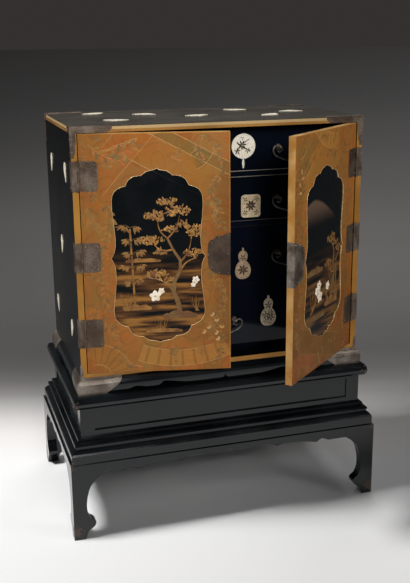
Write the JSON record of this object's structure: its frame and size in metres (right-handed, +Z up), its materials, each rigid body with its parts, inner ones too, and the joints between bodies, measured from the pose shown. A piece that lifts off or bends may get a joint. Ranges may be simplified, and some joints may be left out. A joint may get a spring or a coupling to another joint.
{
  "type": "cabinet on stand",
  "caption": "Black and gold lacquered cabinet with hinged doors over a bank of drawers, standing on a low stand with bracket legs and cusped aprons.",
  "frame": {"origin": "on the floor, under the middle of the box round the whole cabinet as it stands with its doors open", "axes": "+Z up, -Y out of the front where the doors are, +X to the right as one faces the doors"},
  "size_m": [0.671, 0.5636, 0.835],
  "materials": {
    "black_lacquer": "gloss",
    "inner_lacquer": "gloss",
    "gold_lacquer": "satin",
    "bare_wood": "matte",
    "dull_silver": "satin",
    "pale_metal": "satin"
  },
  "bodies": {
    "stand_and_case": {"stand_top": "black_lacquer", "stand_rail_front": "black_lacquer", "stand_rail_back": "black_lacquer", "stand_rail_left": "black_lacquer", "stand_rail_right": "black_lacquer", "apron_front": "black_lacquer", "apron_back": "black_lacquer", "apron_left": "black_lacquer", "apron_right": "black_lacquer", "leg_front_left": "black_lacquer", "leg_front_right": "black_lacquer", "leg_back_left": "black_lacquer", "leg_back_right": "black_lacquer", "case_top": "black_lacquer", "case_left": "black_lacquer", "case_right": "black_lacquer", "case_bottom": "black_lacquer", "case_back": "black_lacquer", "dust_board_1": "inner_lacquer", "dust_board_2": "inner_lacquer", "dust_board_3": "inner_lacquer", "plinth_front": "black_lacquer", "plinth_back": "black_lacquer", "plinth_left": "black_lacquer", "plinth_right": "black_lacquer", "top_mount_front_left": "dull_silver", "top_mount_front_right": "dull_silver", "top_mount_back_left": "dull_silver", "top_mount_back_right": "dull_silver", "foot_mount_front_left": "dull_silver", "foot_mount_front_right": "dull_silver", "foot_mount_back_left": "dull_silver", "foot_mount_back_right": "dull_silver", "hinge_left_top": "dull_silver", "hinge_left_middle": "dull_silver", "hinge_left_low": "dull_silver", "hinge_right_top": "dull_silver", "hinge_right_middle": "dull_silver", "hinge_right_low": "dull_silver"},
    "left_door": {"left_door": "gold_lacquer", "left_lock_plate": "dull_silver"},
    "right_door": {"right_door": "gold_lacquer", "right_lock_plate": "dull_silver"},
    "lock_bolt": {"lock_bolt": "pale_metal"},
    "drawer_1": {"drawer_1_front": "inner_lacquer", "drawer_1_box": "bare_wood"},
    "drawer_2": {"drawer_2_front": "inner_lacquer", "drawer_2_box": "bare_wood"},
    "drawer_3": {"drawer_3_front": "inner_lacquer", "drawer_3_box": "bare_wood"},
    "drawer_4": {"drawer_4_front": "inner_lacquer", "drawer_4_box": "bare_wood"},
    "drawer_1_bail_left": {"drawer_1_bail_left": "dull_silver"},
    "drawer_1_bail_right": {"drawer_1_bail_right": "dull_silver"},
    "drawer_2_bail_left": {"drawer_2_bail_left": "dull_silver"},
    "drawer_2_bail_right": {"drawer_2_bail_right": "dull_silver"},
    "drawer_3_bail_left": {"drawer_3_bail_left": "dull_silver"},
    "drawer_3_bail_right": {"drawer_3_bail_right": "dull_silver"},
    "drawer_4_bail_middle": {"drawer_4_bail_middle": "dull_silver"}
  },
  "joints": [
    {"name": "left_door_hinge", "type": "hinge", "parent": "stand_and_case", "child": "left_door", "pos_m": [-0.288, -0.0907, 0.584], "axis": [0, 0, -1], "range_deg": [-12.5, 157.5]},
    {"name": "right_door_hinge", "type": "hinge", "parent": "stand_and_case", "child": "right_door", "pos_m": [0.288, -0.0907, 0.584], "axis": [0, 0, 1], "range_deg": [-42, 128]},
    {"name": "lock_bolt_throw", "type": "slide", "parent": "right_door", "child": "lock_bolt", "axis": [-0.7431, -0.6691, 0], "range_m": [0, 0.006]},
    {"name": "drawer_1_slide", "type": "slide", "parent": "stand_and_case", "child": "drawer_1", "axis": [0, -1, 0], "range_m": [0, 0.02]},
    {"name": "drawer_2_slide", "type": "slide", "parent": "stand_and_case", "child": "drawer_2", "axis": [0, -1, 0], "range_m": [0, 0.02]},
    {"name": "drawer_3_slide", "type": "slide", "parent": "stand_and_case", "child": "drawer_3", "axis": [0, -1, 0], "range_m": [0, 0.02]},
    {"name": "drawer_4_slide", "type": "slide", "parent": "stand_and_case", "child": "drawer_4", "axis": [0, -1, 0], "range_m": [0, 0.02]},
    {"name": "drawer_1_bail_left_swing", "type": "hinge", "parent": "drawer_1", "child": "drawer_1_bail_left", "pos_m": [-0.167, -0.0582, 0.775], "axis": [-1, 0, 0], "range_deg": [0, 80]},
    {"name": "drawer_1_bail_right_swing", "type": "hinge", "parent": "drawer_1", "child": "drawer_1_bail_right", "pos_m": [0.167, -0.0582, 0.775], "axis": [-1, 0, 0], "range_deg": [0, 80]},
    {"name": "drawer_2_bail_left_swing", "type": "hinge", "parent": "drawer_2", "child": "drawer_2_bail_left", "pos_m": [-0.167, -0.0582, 0.672], "axis": [-1, 0, 0], "range_deg": [0, 80]},
    {"name": "drawer_2_bail_right_swing", "type": "hinge", "parent": "drawer_2", "child": "drawer_2_bail_right", "pos_m": [0.167, -0.0582, 0.672], "axis": [-1, 0, 0], "range_deg": [0, 80]},
    {"name": "drawer_3_bail_left_swing", "type": "hinge", "parent": "drawer_3", "child": "drawer_3_bail_left", "pos_m": [-0.167, -0.0582, 0.5555], "axis": [-1, 0, 0], "range_deg": [0, 80]},
    {"name": "drawer_3_bail_right_swing", "type": "hinge", "parent": "drawer_3", "child": "drawer_3_bail_right", "pos_m": [0.167, -0.0582, 0.5555], "axis": [-1, 0, 0], "range_deg": [0, 80]},
    {"name": "drawer_4_bail_middle_swing", "type": "hinge", "parent": "drawer_4", "child": "drawer_4_bail_middle", "pos_m": [0, -0.0582, 0.416], "axis": [-1, 0, 0], "range_deg": [0, 80]}
  ]
}
